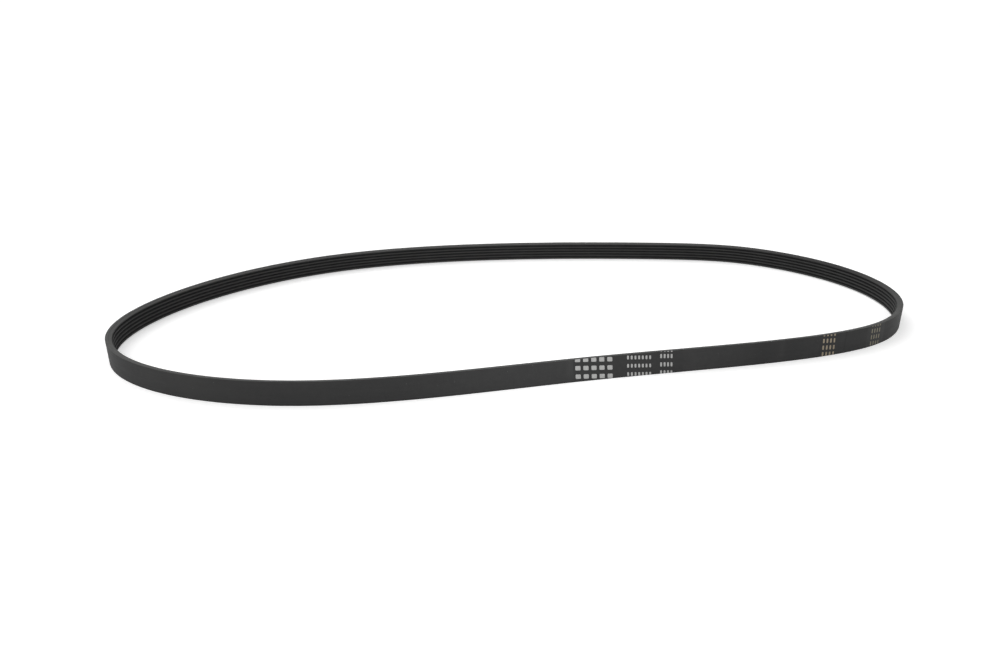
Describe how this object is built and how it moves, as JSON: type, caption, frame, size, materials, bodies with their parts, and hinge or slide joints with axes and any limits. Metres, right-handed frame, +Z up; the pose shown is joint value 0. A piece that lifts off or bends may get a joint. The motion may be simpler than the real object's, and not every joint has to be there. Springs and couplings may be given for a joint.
{
  "type": "serpentine belt",
  "caption": "Endless rubber drive belt with a smooth back and lengthwise V ribs on the inside of the loop, standing loose on its cut edge.",
  "frame": {"origin": "under the middle of the loop's box, on the surface that the belt stands on", "axes": "+Z up along the belt's width, from one cut edge to the other; +X along the loop's longest way across; +Y towards the far run of the loop as the picture shows it"},
  "size_m": [0.5124, 0.2724, 0.014],
  "materials": {
    "belt_rubber": "dark grey rubber, matt and finely ground on the ribs, with a smooth, slightly lighter back",
    "silver_print": "thin worn silver-grey ink",
    "cream_print": "thin worn cream ink"
  },
  "bodies": {
    "root": {"ribbed_belt": "belt_rubber"}
  },
  "joints": []
}
